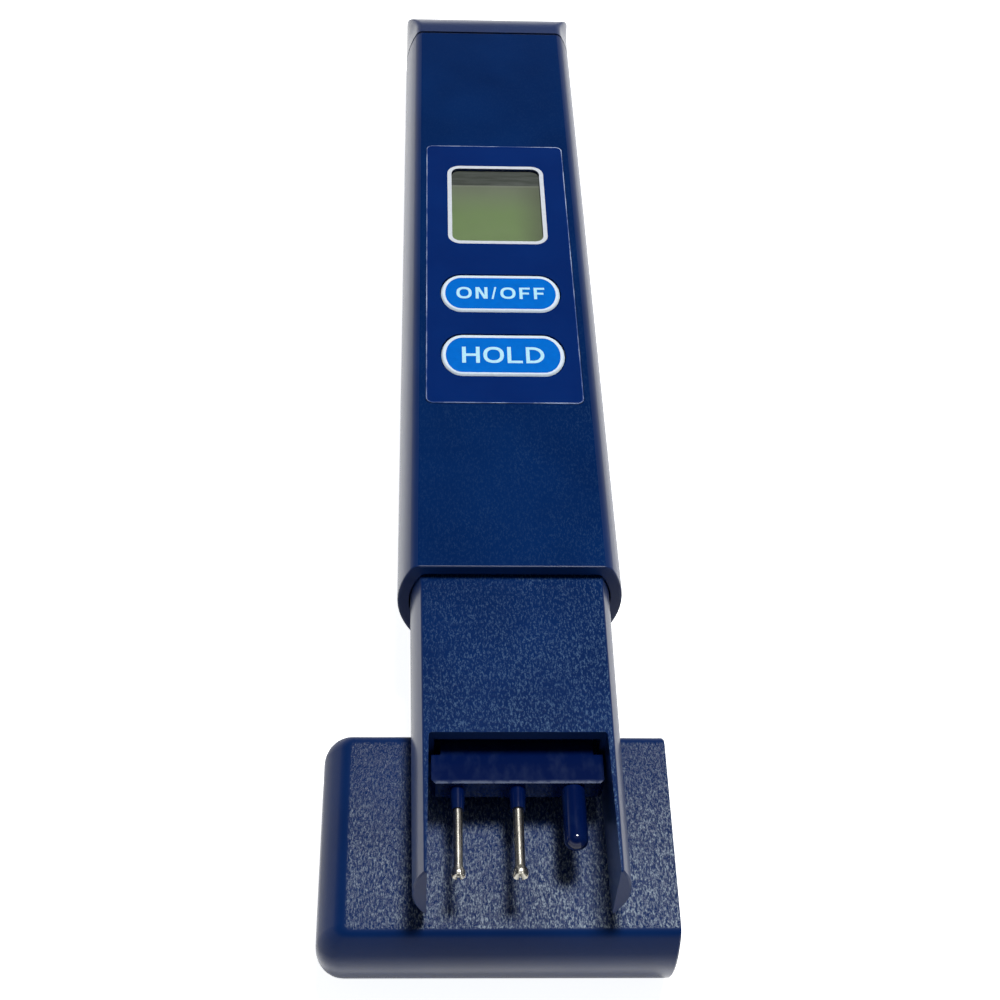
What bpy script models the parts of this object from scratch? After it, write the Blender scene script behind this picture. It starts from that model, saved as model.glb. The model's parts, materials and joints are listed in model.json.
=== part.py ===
"""Water conductivity test pen, switched off and lying with its probe end on its own protective cap.

The pen is drawn in its own frame: X across, Z up from the back face, and stations along -Y from a
mark near the tail. One empty then tips that frame, so that the tail and the cap carry the pen.
All dimensions are millimetres. MM turns them into Blender's metres.
"""
import math

import bmesh
import bpy
from mathutils import Matrix

MM = 0.001

# Body section: flat front and back faces with bowed sides.
BODY_WIDTH = 26.9
BODY_HEIGHT = 13.6
SIDE_BULGE = 1.95
CORNER_FILLET = 1.3
WALL_SIDE = 1.35
WALL_FACE = 1.45
NOSE_FILLET = 0.35
MID = BODY_HEIGHT / 2

# Stations along the pen. The tail is a half-round nose in side view, about NOSE_CENTRE.
NOSE_CENTRE = 2.23
NOSE_RADIUS = MID
SEAM = 4.0
LIP = 114.5
PROBE_END = 152.2
SEAM_GAP = 0.08

# Pose of the pen and of its cap on the bench.
PEN_TILT = math.radians(5.196)
CAP_LENGTH = 39.5
CAP_OPEN_X = 17.55
CAP_CENTRE_Y = -141.32
CAP_TURN = math.radians(-0.251)
CAP_CORNER = 2.7
CAP_TOP_CORNER = 0.5
CAP_END_ROUND = 3.8
CAP_FLOOR = 1.8

# Probe sleeve, pushed into the housing from the lip.
SLEEVE_START = 98.0
SLEEVE_WIDTH = 23.8
SLEEVE_END_WIDTH = 22.8
SLEEVE_HEIGHT = 9.7
SLEEVE_BULGE = 1.25
SLEEVE_WALL = 1.2
SLEEVE_FILLET = 0.3
CHAMBER_START = 135.7
CHAMBER_HALF = 9.72
CHAMBER_FLARE = 0.18
CHAMBER_CORNER = 0.35

# Printed face: label, display window and the two keys.
PRINT_X = 0.0
LABEL_HALF = 10.1
LABEL_START = 34.45
LABEL_END = 88.05
LABEL_THICK = 0.25
LABEL_RECESS = 0.25
LABEL_CORNER = 0.9
WINDOW_HALF = 6.45
WINDOW_START = 39.9
WINDOW_END = 56.3
WINDOW_CORNER = 1.2
WINDOW_THICK = 0.35
WINDOW_SINK = 0.05
GLASS_THICK = 2.0
KEY_HALF = 8.1
KEY_STRAIGHT = 5.3
KEY_GAP = 0.2
KEY_FLANGE = 0.7
KEY_FLANGE_THICK = 0.8
KEY_PROUD = 0.1
KEYS = {"on_off": (67.23, 3.66), "hold": (79.27, 3.8)}

# Electronics.
BOARD_TOP = 6.15
BOARD_THICK = 1.0
BOARD_HALF = 9.0
BOARD_START = 34.5
BOARD_END = 120.0
SWITCH_SIZE = 6.0
SWITCH_HEIGHT = 3.5
PLUNGER_RADIUS = 1.65
KEY_UNDERSIDE = 11.1
FIT_GAP = 0.05

# Battery bay.
CELL_RADIUS = 5.8
CELL_HEIGHT = 5.4
CELL_STATIONS = (15.1, 26.9)
CELL_BASE = 3.6
TRAY_START = 8.8
TRAY_END = 33.8
TRAY_WALL = 1.0
TRAY_FLOOR = 2.0

# Calibration trimmer, reached through a hole in the back.
TRIMMER_X = 4.5
TRIMMER_STATION = 72.0
TRIMMER_HOLE = 1.5

# Probe: a flat moulding with two pins and a sensor sheath.
PROBE_PLATE_TOP = 8.25
PROBE_PLATE_START = 136.5
PROBE_PLATE_END = 140.05
PROBE_PLATE_HALF = 9.4
PROBE_NECK_HALF = 8.4
PROBE_NECK_START = 122.0
PIN_HEIGHT = 6.8
PINS = {"left": (-6.55, 0.5, 0.7), "right": (-0.05, 0.57, 0.82)}
PIN_START = 112.0
PIN_END = 150.3
COLLAR_LENGTH = 2.45
COLLAR_TAPER = 0.14
SENSOR_X = 6.05
SENSOR_RADIUS = 1.3
SENSOR_END = 147.2
SENSOR_DOME = 1.15
SENSOR_SPIGOT = 0.9


def clear_scene():
    """Remove the objects that a new file starts with."""
    for thing in list(bpy.data.objects):
        bpy.data.objects.remove(thing)


def make_material(name, colour, roughness, metallic=0.0):
    """One Principled material."""
    material = bpy.data.materials.new(name)
    material.use_nodes = True
    shader = material.node_tree.nodes["Principled BSDF"]
    shader.inputs["Base Color"].default_value = (*colour, 1.0)
    shader.inputs["Roughness"].default_value = roughness
    shader.inputs["Metallic"].default_value = metallic
    return material


def make_empty(name, location, tilt=0.0, turn=0.0):
    """An empty that carries one group of sub-parts."""
    empty = bpy.data.objects.new(name, None)
    empty.location = [value * MM for value in location]
    empty.rotation_euler = (tilt, 0.0, turn)
    bpy.context.scene.collection.objects.link(empty)
    return empty


def finish_object(name, mesh_data, material, parent, origin=(0.0, 0.0, 0.0)):
    """Turn a bmesh in millimetres into an object whose origin is the given point."""
    bmesh.ops.translate(mesh_data, vec=[-value for value in origin], verts=mesh_data.verts)
    bmesh.ops.scale(mesh_data, vec=(MM, MM, MM), verts=mesh_data.verts)
    bmesh.ops.recalc_face_normals(mesh_data, faces=mesh_data.faces)
    mesh = bpy.data.meshes.new(name)
    mesh_data.to_mesh(mesh)
    mesh_data.free()
    mesh.shade_smooth()
    mesh.set_sharp_from_angle(angle=math.radians(32))
    thing = bpy.data.objects.new(name, mesh)
    if material:
        mesh.materials.append(material)
    thing.parent = parent
    thing.location = [value * MM for value in origin]
    bpy.context.scene.collection.objects.link(thing)
    return thing


def cut(target, cutter):
    """Subtract a helper object from a sub-part."""
    cutter.hide_render = True
    cutter.display_type = "WIRE"
    modifier = target.modifiers.new(cutter.name, "BOOLEAN")
    modifier.operation = "DIFFERENCE"
    modifier.solver = "EXACT"
    modifier.object = cutter


def arc(centre_x, centre_z, radius, start, end, steps):
    """Points along a circular arc, angles in radians."""
    points = []
    for step in range(steps + 1):
        angle = start + (end - start) * step / steps
        points.append((centre_x + radius * math.cos(angle), centre_z + radius * math.sin(angle)))
    return points


def bowed_side(width, height, bulge, fillet):
    """Right side of the body section, from the bottom flat up to the top flat."""
    half = height / 2
    bow = (half * half + bulge * bulge) / (2 * bulge)
    bow_x = width / 2 - bow
    fillet_x = bow_x + math.sqrt((bow - fillet) ** 2 - (half - fillet) ** 2)
    lean = math.atan2(half - fillet, fillet_x - bow_x)
    side = arc(fillet_x, -(half - fillet), fillet, -math.pi / 2, -lean, 5)
    side += arc(bow_x, 0.0, bow, -lean, lean, 12)[1:-1]
    side += arc(fillet_x, half - fillet, fillet, lean, math.pi / 2, 5)
    return side


def bowed_section(width, height, bulge, fillet, inset=0.0):
    """Closed outline with flat top and bottom and bowed sides, centred on (0, 0)."""
    fillet = max(fillet - inset, 0.15)
    right = bowed_side(width - 2 * inset, height - 2 * inset, bulge, fillet)
    left = [(-x, z) for x, z in reversed(right)]
    return right + left


def loft(outlines):
    """Closed solid through a row of outlines that have the same number of points."""
    solid = bmesh.new()
    rings = [[solid.verts.new(point) for point in outline] for outline in outlines]
    count = len(rings[0])
    for lower, upper in zip(rings, rings[1:]):
        for index in range(count):
            following = (index + 1) % count
            solid.faces.new((lower[index], lower[following], upper[following], upper[index]))
    solid.faces.new(rings[0])
    solid.faces.new(list(reversed(rings[-1])))
    return solid


def along_pen(sections):
    """Loft of sections given as (station, outline), centred on the pen's mid-plane."""
    return loft([[(x, -station, MID + z) for x, z in outline] for station, outline in sections])


def upright(outline, bottom, top):
    """Prism whose plan outline is given as (x, station) points."""
    levels = (bottom, top)
    return loft([[(x, -station, level) for x, station in outline] for level in levels])


def rounded_rectangle(x_low, x_high, s_low, s_high, radius, steps=4):
    """Plan outline of a rectangle with round corners."""
    quarter = math.pi / 2
    corners = (
        (x_high - radius, s_high - radius, 0.0),
        (x_low + radius, s_high - radius, quarter),
        (x_low + radius, s_low + radius, 2 * quarter),
        (x_high - radius, s_low + radius, 3 * quarter),
    )
    outline = []
    for x, station, start in corners:
        outline += arc(x, station, radius, start, start + quarter, steps)
    return outline


def pill(station, half_width, half_height, steps=12):
    """Plan outline of a key: a rectangle whose short ends are half ellipses."""
    quarter = math.pi / 2
    outline = []
    for side, start in ((1, -quarter), (-1, quarter)):
        for x, y in arc(0.0, 0.0, 1.0, start, start + math.pi, steps):
            across = PRINT_X + side * KEY_STRAIGHT + x * (half_width - KEY_STRAIGHT)
            outline.append((across, station + y * half_height))
    return outline


def turned(profile, place, axis, segments=24):
    """Solid of revolution. The profile holds (distance, radius) pairs along the axis."""
    solid = bmesh.new()
    start = solid.verts.new((0.0, 0.0, profile[0][0]))
    end = solid.verts.new((0.0, 0.0, profile[-1][0]))
    rings = []
    for distance, radius in profile:
        ring = []
        for step in range(segments):
            angle = 2 * math.pi * step / segments
            ring.append(solid.verts.new((radius * math.cos(angle), radius * math.sin(angle), distance)))
        rings.append(ring)
    for lower, upper in zip(rings, rings[1:]):
        for step in range(segments):
            following = (step + 1) % segments
            solid.faces.new((lower[step], lower[following], upper[following], upper[step]))
    for step in range(segments):
        following = (step + 1) % segments
        solid.faces.new((start, rings[0][following], rings[0][step]))
        solid.faces.new((end, rings[-1][step], rings[-1][following]))
    if axis == "pen":
        bmesh.ops.rotate(solid, matrix=Matrix.Rotation(math.radians(90), 3, "X"), verts=solid.verts)
    bmesh.ops.translate(solid, vec=place, verts=solid.verts)
    return solid


def body_outline(inset=0.0):
    """Section of the housing and of both caps."""
    return bowed_section(BODY_WIDTH, BODY_HEIGHT, SIDE_BULGE, CORNER_FILLET, inset)


def bore_outline(inset=0.0):
    """Section of the hollow inside the housing and inside the protective cap."""
    width = BODY_WIDTH - 2 * WALL_SIDE
    height = BODY_HEIGHT - 2 * WALL_FACE
    return bowed_section(width, height, SIDE_BULGE - 0.3, 0.7, inset)


def sleeve_outline(station, inset=0.0):
    """Section of the probe sleeve, which narrows a little from the lip to its end."""
    along = max(0.0, (station - LIP) / (PROBE_END - LIP))
    width = SLEEVE_WIDTH + (SLEEVE_END_WIDTH - SLEEVE_WIDTH) * along
    return bowed_section(width, SLEEVE_HEIGHT, SLEEVE_BULGE, SLEEVE_FILLET, inset)


def rounded_end(station, direction, radius, steps=3):
    """Stations and insets of a rounded end, from the end face inwards."""
    rows = []
    for step in range(steps + 1):
        angle = math.pi / 2 * step / steps
        rows.append((station + direction * radius * (1 - math.cos(angle)), radius * (1 - math.sin(angle))))
    return rows


def make_housing(material, pen):
    """Long tube of the body, open at both ends, with the cut-outs of its printed face."""
    start = SEAM + SEAM_GAP + 0.1
    rows = rounded_end(start, 1, 0.15, 2) + list(reversed(rounded_end(LIP, -1, 0.2, 2)))
    sections = [(station, body_outline(inset)) for station, inset in rows]
    housing = finish_object("main_housing", along_pen(sections), material, pen)
    bore = [(start - 1, bore_outline()), (LIP + 1, bore_outline())]
    cut(housing, finish_object("housing_bore", along_pen(bore), None, pen))
    recess = rounded_rectangle(-LABEL_HALF - 0.1, LABEL_HALF + 0.1, LABEL_START - 0.1, LABEL_END + 0.1,
                               LABEL_CORNER)
    floor = BODY_HEIGHT - LABEL_RECESS
    cut(housing, finish_object("label_recess", upright(recess, floor, BODY_HEIGHT + 1), None, pen))
    opening = window_outline(0.15)
    cut(housing, finish_object("window_hole", upright(opening, MID + 3, BODY_HEIGHT + 1), None, pen))
    for key, (station, half_height) in KEYS.items():
        hole = pill(station, KEY_HALF + KEY_GAP, half_height + KEY_GAP)
        cutter = finish_object(key + "_hole", upright(hole, MID + 3, BODY_HEIGHT + 1), None, pen)
        cut(housing, cutter)
    place = (TRIMMER_X, -TRIMMER_STATION, 0.0)
    hole = turned([(-1.0, TRIMMER_HOLE), (WALL_FACE + 1, TRIMMER_HOLE)], place, "up")
    cut(housing, finish_object("trimmer_hole", hole, None, pen))


def window_outline(grow=0.0):
    """Plan outline of the display window."""
    return rounded_rectangle(PRINT_X - WINDOW_HALF - grow, PRINT_X + WINDOW_HALF + grow,
                             WINDOW_START - grow, WINDOW_END + grow, WINDOW_CORNER)


def make_label(material, pen):
    """Printed film in the recess of the front face, open over the window and round the keys."""
    bottom = BODY_HEIGHT - LABEL_RECESS + FIT_GAP
    outline = rounded_rectangle(-LABEL_HALF, LABEL_HALF, LABEL_START, LABEL_END, LABEL_CORNER)
    label = finish_object("face_label", upright(outline, bottom, bottom + LABEL_THICK), material, pen)
    opening = upright(window_outline(0.1), bottom - 1, bottom + 1)
    cut(label, finish_object("label_window_hole", opening, None, pen))
    for key, (station, half_height) in KEYS.items():
        hole = pill(station, KEY_HALF + KEY_GAP, half_height + KEY_GAP)
        cutter = finish_object("label_" + key + "_hole", upright(hole, bottom - 1, bottom + 1), None, pen)
        cut(label, cutter)


def make_display(plastic, clear, glass, rubber, pen):
    """Window, liquid crystal glass, its holder and the two elastomer strips down to the board."""
    top = BODY_HEIGHT - WINDOW_SINK
    finish_object("lcd_window", upright(window_outline(), top - WINDOW_THICK, top), clear, pen)
    half_x = WINDOW_HALF + 1.4
    low = WINDOW_START - 1.6
    high = WINDOW_END + 1.6
    glass_top = BODY_HEIGHT - WALL_FACE - 0.25
    glass_bottom = glass_top - GLASS_THICK
    outline = rounded_rectangle(-half_x, half_x, low, high, 0.4, 2)
    back_pane = finish_object("lcd_glass", upright(outline, glass_bottom, glass_top), glass, pen)
    front_pane = upright(window_outline(), glass_top - 0.5, top - WINDOW_THICK - FIT_GAP)
    join(back_pane, finish_object("lcd_front_pane", front_pane, None, pen))
    rim = 1.1
    outer = rounded_rectangle(-half_x - rim, half_x + rim, low - rim, high + rim, 0.8, 2)
    holder = finish_object("lcd_holder", upright(outer, glass_bottom - 1.0, glass_top), plastic, pen)
    pocket = rounded_rectangle(-half_x - 0.1, half_x + 0.1, low - 0.1, high + 0.1, 0.4, 2)
    cut(holder, finish_object("holder_pocket", upright(pocket, glass_bottom - 0.1, 15), None, pen))
    opening = rounded_rectangle(-half_x + 0.6, half_x - 0.6, low + 0.6, high - 0.6, 0.4, 2)
    cut(holder, finish_object("holder_opening", upright(opening, 5, 15), None, pen))
    for end, station in (("tail", low + 1.6), ("probe", high - 1.6)):
        strip = rounded_rectangle(-half_x + 0.9, half_x - 0.9, station - 0.8, station + 0.8, 0.2, 1)
        bar = upright(strip, BOARD_TOP + FIT_GAP, glass_bottom - FIT_GAP)
        finish_object("zebra_strip_" + end, bar, rubber, pen)


def make_key(key, station, half_height, key_material, switch_material, plunger_material, pen):
    """Key cap with its inner flange, the switch below it and the plunger that the key presses."""
    origin = (PRINT_X, -station, KEY_UNDERSIDE)
    flange_top = KEY_UNDERSIDE + KEY_FLANGE_THICK
    top = BODY_HEIGHT + KEY_PROUD
    body = [(half_height + KEY_FLANGE, KEY_UNDERSIDE), (half_height + KEY_FLANGE, flange_top),
            (half_height, flange_top), (half_height, top - 0.2), (half_height - 0.2, top)]
    levels = []
    for reach, level in body:
        outline = pill(station, KEY_HALF + reach - half_height, reach)
        levels.append([(x, -place, level) for x, place in outline])
    finish_object(key + "_key", loft(levels), key_material, pen, origin)
    base = BOARD_TOP + FIT_GAP
    side = SWITCH_SIZE / 2
    square = rounded_rectangle(PRINT_X - side, PRINT_X + side, station - side, station + side, 0.4, 2)
    switch = upright(square, base, base + SWITCH_HEIGHT)
    switch = finish_object(key + "_switch", switch, switch_material, pen)
    centre = (PRINT_X, -station, 0.0)
    well = turned([(base + 0.9, PLUNGER_RADIUS + 0.2), (15, PLUNGER_RADIUS + 0.2)], centre, "up")
    cut(switch, finish_object(key + "_switch_well", well, None, pen))
    stem = [(base + 1.7, PLUNGER_RADIUS), (KEY_UNDERSIDE - 0.25, PLUNGER_RADIUS),
            (KEY_UNDERSIDE - FIT_GAP, PLUNGER_RADIUS - 0.2)]
    plunger = turned(stem, centre, "up", 20)
    finish_object(key + "_plunger", plunger, plunger_material, pen, origin)


def make_electronics(board_material, chip_material, metal, blue, pen):
    """Circuit board, its controller and crystal, and the calibration trimmer."""
    bottom = BOARD_TOP - BOARD_THICK
    outline = rounded_rectangle(-BOARD_HALF, BOARD_HALF, BOARD_START, BOARD_END, 0.8, 2)
    finish_object("circuit_board", upright(outline, bottom, BOARD_TOP), board_material, pen)
    base = BOARD_TOP + FIT_GAP
    chip = rounded_rectangle(-3.5, 3.5, 89.0, 96.0, 0.4, 2)
    finish_object("controller_chip", upright(chip, base, base + 1.4), chip_material, pen)
    can = rounded_rectangle(5.0, 6.6, 89.5, 95.5, 0.75, 4)
    finish_object("clock_crystal", upright(can, base, base + 1.6), metal, pen)
    side = 3.2
    square = rounded_rectangle(TRIMMER_X - side, TRIMMER_X + side, TRIMMER_STATION - side,
                               TRIMMER_STATION + side, 0.4, 2)
    base_bottom = 2.7
    housing = upright(square, base_bottom, bottom - FIT_GAP)
    housing = finish_object("trimmer_base", housing, blue, pen)
    centre = (TRIMMER_X, -TRIMMER_STATION, 0.0)
    well = turned([(0.0, 2.0), (base_bottom + 1.2, 2.0)], centre, "up")
    cut(housing, finish_object("trimmer_well", well, None, pen))
    rotor = turned([(base_bottom - 0.9, 1.15), (base_bottom - 0.3, 1.15), (base_bottom - 0.3, 1.8),
                    (base_bottom + 1.0, 1.8)], centre, "up")
    origin = (TRIMMER_X, -TRIMMER_STATION, base_bottom)
    rotor = finish_object("trimmer_rotor", rotor, metal, pen, origin)
    slot = rounded_rectangle(TRIMMER_X - 0.3, TRIMMER_X + 0.3, TRIMMER_STATION - 2, TRIMMER_STATION + 2,
                             0.1, 1)
    cut(rotor, finish_object("trimmer_slot", upright(slot, 0.0, base_bottom - 0.45), None, pen))


def make_battery_bay(plastic, cell_metal, spring_metal, pen):
    """Tray, two button cells and the three contacts that put them in series."""
    half = CELL_RADIUS + 0.2 + TRAY_WALL
    tray_top = CELL_BASE + CELL_HEIGHT - 0.6
    outline = rounded_rectangle(-half, half, TRAY_START, TRAY_END, 0.8, 2)
    tray = finish_object("battery_tray", upright(outline, TRAY_FLOOR, tray_top), plastic, pen)
    inside = half - TRAY_WALL
    channel = rounded_rectangle(-inside, inside, TRAY_START - 8, TRAY_END - TRAY_WALL, 1.0, 2)
    cut(tray, finish_object("tray_channel", upright(channel, TRAY_FLOOR + 1.0, 15), None, pen))
    for number, station in enumerate(CELL_STATIONS, 1):
        up = CELL_BASE
        profile = [(up, 4.6), (up + 0.3, 4.9), (up + 0.5, CELL_RADIUS), (up + CELL_HEIGHT - 0.3, CELL_RADIUS),
                   (up + CELL_HEIGHT, CELL_RADIUS - 0.3)]
        if number == 2:
            flip = 2 * up + CELL_HEIGHT
            profile = [(flip - distance, radius) for distance, radius in reversed(profile)]
        cell = turned(profile, (0.0, -station, 0.0), "up", 32)
        finish_object("button_cell_%d" % number, cell, cell_metal, pen)
    link = rounded_rectangle(-2.2, 2.2, CELL_STATIONS[0] - 4, CELL_STATIONS[1] + 4, 0.5, 2)
    strip_bottom = TRAY_FLOOR + 1.0 + FIT_GAP
    finish_object("contact_link", upright(link, strip_bottom, strip_bottom + 0.4), spring_metal, pen)
    cell_top = CELL_BASE + CELL_HEIGHT
    sides = (("contact_positive", -3.2, CELL_STATIONS[0]), ("contact_negative", 3.2, CELL_STATIONS[1]))
    for name, x, station in sides:
        spring = contact_spring(x, station, cell_top + FIT_GAP)
        finish_object(name, spring, spring_metal, pen)


def contact_spring(x, station, cell_top):
    """Leaf that presses on a cell and runs down to the end of the circuit board."""
    leaf = 0.3
    end = BOARD_START + 1.5
    board = BOARD_TOP + FIT_GAP
    over = [(station - 2.5, cell_top + 0.8), (station, cell_top), (station + 2.5, cell_top + 0.8),
            (TRAY_END + 0.1, cell_top + 0.8), (TRAY_END + 0.4, board), (end, board)]
    back = [(place + 0.1, level + leaf) for place, level in reversed(over)]
    back[1] = (TRAY_END + 0.4 + leaf, board + leaf)
    back[2] = (TRAY_END + 0.1 + leaf, cell_top + 0.8 + leaf)
    profile = over + back
    return loft([[(side, -place, level) for place, level in profile] for side in (x - 1.2, x + 1.2)])


def nose_sections(steps=12):
    """Sections of the half-round nose, from its squarer tip to the full body section."""
    half = BODY_HEIGHT / 2
    bow = (half * half + SIDE_BULGE * SIDE_BULGE) / (2 * SIDE_BULGE)
    tip_angle = math.radians(5)
    sections = []
    for step in range(steps + 1):
        angle = tip_angle + (math.pi / 2 - tip_angle) * step / steps
        station = NOSE_CENTRE - NOSE_RADIUS * math.cos(angle)
        rise = NOSE_RADIUS * math.sin(angle)
        blend = math.sin(angle) ** 6
        bulge = (bow - math.sqrt(bow * bow - rise * rise)) * (0.1 + 0.9 * blend)
        fillet = min(NOSE_FILLET + (CORNER_FILLET - NOSE_FILLET) * blend, 0.8 * rise)
        from_tip = station - (NOSE_CENTRE - NOSE_RADIUS)
        lost = NOSE_FILLET - from_tip
        inset = 0.0
        if lost > 0:
            inset = NOSE_FILLET - math.sqrt(NOSE_FILLET ** 2 - lost ** 2)
        sections.append((station, bowed_section(BODY_WIDTH - 2 * inset, 2 * rise, bulge, fillet)))
    return sections


def make_battery_cap(material, rubber, pen):
    """Tail cap with its half-round nose and its plug, and the black gasket in the seam."""
    plug_gap = 0.15
    plug_end = SEAM + 4.2
    seam_side = SEAM - SEAM_GAP - 0.1
    sections = nose_sections() + [(seam_side, body_outline())]
    sections += [(seam_side, bore_outline(plug_gap)), (plug_end, bore_outline(plug_gap))]
    cap = finish_object("battery_cap", along_pen(sections), material, pen)
    hollow = [(-1.4, bore_outline(plug_gap + 1.2)), (plug_end + 1, bore_outline(plug_gap + 1.2))]
    cut(cap, finish_object("battery_cap_hollow", along_pen(hollow), None, pen))
    ring = [(SEAM - 0.1, body_outline(0.3)), (SEAM + 0.1, body_outline(0.3))]
    gasket = finish_object("battery_cap_gasket", along_pen(ring), rubber, pen)
    hole = [(SEAM - 1, bore_outline(plug_gap - 0.05)), (SEAM + 1, bore_outline(plug_gap - 0.05))]
    cut(gasket, finish_object("gasket_hole", along_pen(hole), None, pen))


def make_sleeve(material, pen):
    """Probe sleeve: a hollow wedge whose end is cut away to two bowed side walls."""
    stations = (SLEEVE_START, LIP, PROBE_END - 0.15, PROBE_END)
    sections = [(station, sleeve_outline(station)) for station in stations[:-1]]
    sections.append((PROBE_END, sleeve_outline(PROBE_END, 0.15)))
    sleeve = finish_object("probe_sleeve", along_pen(sections), material, pen)
    bore = [(SLEEVE_START - 1, sleeve_outline(SLEEVE_START, SLEEVE_WALL)),
            (LIP, sleeve_outline(LIP, SLEEVE_WALL)),
            (CHAMBER_START - 1.2, sleeve_outline(CHAMBER_START, SLEEVE_WALL))]
    cut(sleeve, finish_object("sleeve_bore", along_pen(bore), None, pen))
    throat = [(-CHAMBER_HALF + 0.6, -3.4), (CHAMBER_HALF - 0.6, -3.4), (CHAMBER_HALF - 0.6, 3.4),
              (-CHAMBER_HALF + 0.6, 3.4)]
    neck = [(CHAMBER_START - 2, throat), (CHAMBER_START + 1, throat)]
    cut(sleeve, finish_object("sleeve_throat", along_pen(neck), None, pen))
    corner = arc(CHAMBER_HALF - CHAMBER_CORNER, CHAMBER_START + CHAMBER_CORNER, CHAMBER_CORNER, 0.0,
                 -math.pi / 2, 5)
    right = [(CHAMBER_HALF + CHAMBER_FLARE, PROBE_END + 1)] + corner
    left = [(-x, station) for x, station in reversed(right)]
    chamber = upright(right + left, -1.0, BODY_HEIGHT + 1)
    cut(sleeve, finish_object("probe_chamber", chamber, None, pen))


def make_probe(material, pin_metal, pen):
    """Flat probe moulding with its collars, the two pins and the temperature sensor."""
    bottom = 2 * PIN_HEIGHT - PROBE_PLATE_TOP
    half = PROBE_PLATE_HALF
    end_facet = 0.45
    plate = [(-half, PROBE_PLATE_START), (-half, PROBE_PLATE_END - end_facet),
             (-half + end_facet, PROBE_PLATE_END), (half - end_facet, PROBE_PLATE_END),
             (half, PROBE_PLATE_END - end_facet), (half, PROBE_PLATE_START),
             (PROBE_NECK_HALF, PROBE_PLATE_START), (PROBE_NECK_HALF, PROBE_NECK_START),
             (-PROBE_NECK_HALF, PROBE_NECK_START), (-PROBE_NECK_HALF, PROBE_PLATE_START)]
    block = finish_object("probe_block", upright(plate, bottom, PROBE_PLATE_TOP), material, pen)
    for side, (x, radius, collar) in PINS.items():
        place = (x, 0.0, PIN_HEIGHT)
        root = collar + COLLAR_TAPER
        sleeve = turned([(PROBE_PLATE_END - 1, root), (PROBE_PLATE_END, root),
                         (PROBE_PLATE_END + COLLAR_LENGTH, collar)], place, "pen", 20)
        join(block, finish_object(side + "_collar", sleeve, None, pen))
        bore = turned([(PROBE_NECK_START - 1, radius + 0.06), (PIN_END, radius + 0.06)], place, "pen", 20)
        cut(block, finish_object(side + "_pin_bore", bore, None, pen))
        make_pin(side, x, radius, pin_metal, pen)
    place = (SENSOR_X, 0.0, PIN_HEIGHT)
    bore = turned([(PROBE_NECK_START - 1, SENSOR_SPIGOT + 0.1), (PROBE_PLATE_END + 1, SENSOR_SPIGOT + 0.1)],
                  place, "pen", 20)
    cut(block, finish_object("sensor_bore", bore, None, pen))
    face = PROBE_PLATE_END + FIT_GAP
    profile = [(PROBE_PLATE_END - 6, SENSOR_SPIGOT), (face, SENSOR_SPIGOT), (face, SENSOR_RADIUS)]
    for distance, radius in arc(0.0, 0.0, 1.0, math.pi / 2, 0.12, 10):
        profile.append((SENSOR_END - SENSOR_DOME + distance * SENSOR_DOME, radius * SENSOR_RADIUS))
    finish_object("temperature_sensor", turned(profile, place, "pen", 36), material, pen)


def join(target, addition):
    """Add a helper object to a sub-part."""
    cut(target, addition)
    target.modifiers[addition.name].operation = "UNION"


def make_pin(side, x, radius, metal, pen):
    """Probe pin with a small four-pronged crown at its free end."""
    crown = radius * 1.55
    cup = 0.45
    profile = [(PIN_START, radius), (PIN_END - 1.2, radius), (PIN_END - 0.5, crown), (PIN_END, crown - 0.1),
               (PIN_END - cup, radius * 0.55)]
    place = (x, 0.0, PIN_HEIGHT)
    pin = finish_object("probe_pin_" + side, turned(profile, place, "pen", 20), metal, pen)
    half = 0.16
    for direction, wide, tall in (("flat", crown + 0.3, half), ("upright", half, crown + 0.3)):
        box = [(x - wide, -tall), (x + wide, -tall), (x + wide, tall), (x - wide, tall)]
        box = [(across, rise + PIN_HEIGHT - MID) for across, rise in box]
        notch = along_pen([(PIN_END - 0.3, box), (PIN_END + 1, box)])
        cut(pin, finish_object("%s_notch_%s" % (side, direction), notch, None, pen))


def make_protective_cap(material, bench):
    """Cap of the probe end, lying on its flat face with its open end at +X."""
    side = bowed_side(BODY_WIDTH, BODY_HEIGHT, SIDE_BULGE, CORNER_FILLET)
    outlines = [cap_level(half, MID + rise) for half, rise in side]
    cap = finish_object("protective_cap", loft(outlines), material, bench)
    hollow = []
    for along, inset in ((1.0, 0.0), (-(CAP_LENGTH - CAP_FLOOR - 1.5), 0.0), (-(CAP_LENGTH - CAP_FLOOR), 1.5)):
        hollow.append([(along, y, MID + rise) for y, rise in bore_outline(inset)])
    cut(cap, finish_object("cap_hollow", loft(hollow), None, bench))


def cap_level(half, level):
    """Plan outline of the cap at one height: square open end, round corners at the closed end.

    The closed end is half an ellipse in side view, and its corners get sharper towards both faces.
    """
    fullness = math.sqrt(max(0.0, 1 - ((level - MID) / MID) ** 2))
    radius = CAP_TOP_CORNER + (CAP_CORNER - CAP_TOP_CORNER) * fullness
    centre_x = radius - (CAP_LENGTH - CAP_END_ROUND * (1 - fullness))
    centre_y = half - radius
    rim = 0.2
    outline = [(0.0, half - rim), (-rim, half)]
    outline += arc(centre_x, centre_y, radius, math.pi / 2, math.pi, 10)
    outline += arc(centre_x, -centre_y, radius, math.pi, 3 * math.pi / 2, 10)
    outline += [(-rim, -half), (0.0, rim - half)]
    return [(x, y, level) for x, y in outline]


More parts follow.
